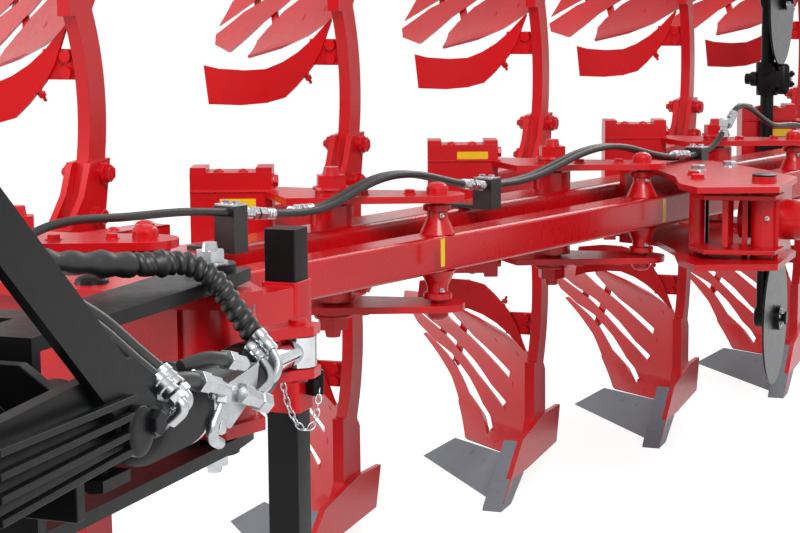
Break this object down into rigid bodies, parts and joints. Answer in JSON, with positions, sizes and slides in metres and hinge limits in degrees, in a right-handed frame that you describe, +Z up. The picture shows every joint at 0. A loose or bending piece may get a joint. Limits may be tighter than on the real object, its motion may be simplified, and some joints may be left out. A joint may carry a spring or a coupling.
{
  "type": "mounted reversible mouldboard plough",
  "caption": "Mounted reversible mouldboard plough with slatted mouldboards on curved legs, variable-width beam, parking stand and depth wheel.",
  "frame": {"origin": "centre of the overall box on the floor", "axes": "+Y to the rear, against the direction of travel; +X to the unploughed land; +Z up"},
  "size_m": [2.3386, 6.1344, 1.74],
  "materials": {
    "red_paint": "gloss",
    "beam_red": "gloss",
    "board_red": "gloss",
    "black_paint": "satin",
    "share_grey": "satin",
    "rod_chrome": "polished",
    "disc_steel": "satin",
    "tyre_rubber": "matte",
    "hose_rubber": "satin"
  },
  "bodies": {
    "headstock": {"turnover_housing": "black_paint", "mast_frame": "black_paint", "hitch_beam": "black_paint", "brace_furrow": "black_paint", "brace_land": "black_paint"},
    "turnover": {"turnover_frame": "black_paint", "hose_guarded": "hose_rubber"},
    "beam": {"main_beam": "beam_red", "stand_sleeve": "red_paint", "wheel_bracket": "red_paint", "hose_long": "hose_rubber", "hose_short": "hose_rubber", "hose_clamps": "hose_rubber"},
    "stand": {"stand_leg": "black_paint"},
    "control": {"control_bar": "beam_red"},
    "link": {"steering_link": "red_paint"},
    "barrel": {"swing_barrel": "black_paint"},
    "piston": {"swing_rod": "rod_chrome"},
    "ram": {"turnover_cylinder": "black_paint"},
    "depth_arm": {"wheel_arm": "red_paint"},
    "wheel": {"wheel_rim": "red_paint", "wheel_tyre": "tyre_rubber"},
    "disc_low": {"coulter_disc_lower": "disc_steel"},
    "disc_high": {"coulter_disc_upper": "disc_steel"},
    "bottom_1": {"carrier_1": "red_paint", "legs_1": "red_paint", "shares_1": "share_grey", "mouldboards_1": "board_red"},
    "bottom_2": {"carrier_2": "red_paint", "legs_2": "red_paint", "shares_2": "share_grey", "mouldboards_2": "board_red"},
    "bottom_3": {"carrier_3": "red_paint", "legs_3": "red_paint", "shares_3": "share_grey", "mouldboards_3": "board_red"},
    "bottom_4": {"carrier_4": "red_paint", "legs_4": "red_paint", "shares_4": "share_grey", "mouldboards_4": "board_red"},
    "bottom_5": {"carrier_5": "red_paint", "legs_5": "red_paint", "shares_5": "share_grey", "mouldboards_5": "board_red", "coulter_stem": "black_paint"}
  },
  "joints": [
    {"name": "turnover", "type": "hinge", "parent": "headstock", "child": "turnover", "pos_m": [0.22531, -2.67725, 0.87], "axis": [0, -1, 0], "range_deg": [0, 180]},
    {"name": "ram_swing", "type": "hinge", "parent": "headstock", "child": "ram", "pos_m": [0.22531, -2.93724, 1.33], "axis": [0, 1, 0], "range_deg": [0, 26.91]},
    {"name": "beam_swing", "type": "hinge", "parent": "turnover", "child": "beam", "pos_m": [0.22531, -1.90925, 0.87], "axis": [0, 0, -1], "range_deg": [0, 16]},
    {"name": "barrel_swing", "type": "hinge", "parent": "turnover", "child": "barrel", "pos_m": [0.32532, -2.43724, 0.87], "axis": [0, 0, -1], "range_deg": [0, 2.33]},
    {"name": "piston_slide", "type": "slide", "parent": "barrel", "child": "piston", "axis": [0, -1, 0], "range_m": [0, 0.03103]},
    {"name": "link_swing", "type": "hinge", "parent": "turnover", "child": "link", "pos_m": [0.1181, -1.95083, 0.715], "axis": [0, 0, -1], "range_deg": [0, 16]},
    {"name": "carrier_1_pivot", "type": "hinge", "parent": "beam", "child": "bottom_1", "pos_m": [-0.31172, -1.61178, 0.87], "axis": [0, 0, 1], "range_deg": [0, 16]},
    {"name": "carrier_2_pivot", "type": "hinge", "parent": "beam", "child": "bottom_2", "pos_m": [-0.0712, -0.74451, 0.87], "axis": [0, 0, 1], "range_deg": [0, 16]},
    {"name": "carrier_3_pivot", "type": "hinge", "parent": "beam", "child": "bottom_3", "pos_m": [0.16931, 0.12276, 0.87], "axis": [0, 0, 1], "range_deg": [0, 16]},
    {"name": "carrier_4_pivot", "type": "hinge", "parent": "beam", "child": "bottom_4", "pos_m": [0.40983, 0.99002, 0.87], "axis": [0, 0, 1], "range_deg": [0, 16]},
    {"name": "carrier_5_pivot", "type": "hinge", "parent": "beam", "child": "bottom_5", "pos_m": [0.65034, 1.85729, 0.87], "axis": [0, 0, 1], "range_deg": [0, 16]},
    {"name": "control_pivot", "type": "hinge", "parent": "bottom_3", "child": "control", "pos_m": [0.38375, 0.20593, 0.87], "axis": [0, 0, -1], "range_deg": [0, 16]},
    {"name": "stand_slide", "type": "slide", "parent": "beam", "child": "stand", "axis": [0, 0, 1], "range_m": [0, 0.35]},
    {"name": "wheel_arm_hinge", "type": "hinge", "parent": "beam", "child": "depth_arm", "pos_m": [0.91431, 0.15276, 0.87], "axis": [1, 0, 0], "range_deg": [0, 122.29]},
    {"name": "wheel_spin", "type": "hinge", "parent": "depth_arm", "child": "wheel", "pos_m": [1.06932, 0.42275, 0.38], "axis": [1, 0, 0], "continuous": true},
    {"name": "disc_low_spin", "type": "hinge", "parent": "bottom_5", "child": "disc_low", "pos_m": [0.45334, 1.81129, 0.335], "axis": [1, 0, 0], "continuous": true},
    {"name": "disc_high_spin", "type": "hinge", "parent": "bottom_5", "child": "disc_high", "pos_m": [0.45334, 1.81129, 1.405], "axis": [1, 0, 0], "continuous": true}
  ],
  "couplings": [
    {"joint": "ram_swing", "follows": "turnover", "ratio": 0.14943},
    {"joint": "barrel_swing", "follows": "beam_swing", "ratio": 0.14497},
    {"joint": "piston_slide", "follows": "beam_swing", "m_per_rad": 0.1111},
    {"joint": "link_swing", "follows": "beam_swing", "ratio": 1},
    {"joint": "control_pivot", "follows": "beam_swing", "ratio": 1},
    {"joint": "carrier_1_pivot", "follows": "beam_swing", "ratio": 1},
    {"joint": "carrier_2_pivot", "follows": "beam_swing", "ratio": 1},
    {"joint": "carrier_3_pivot", "follows": "beam_swing", "ratio": 1},
    {"joint": "carrier_4_pivot", "follows": "beam_swing", "ratio": 1},
    {"joint": "carrier_5_pivot", "follows": "beam_swing", "ratio": 1}
  ]
}
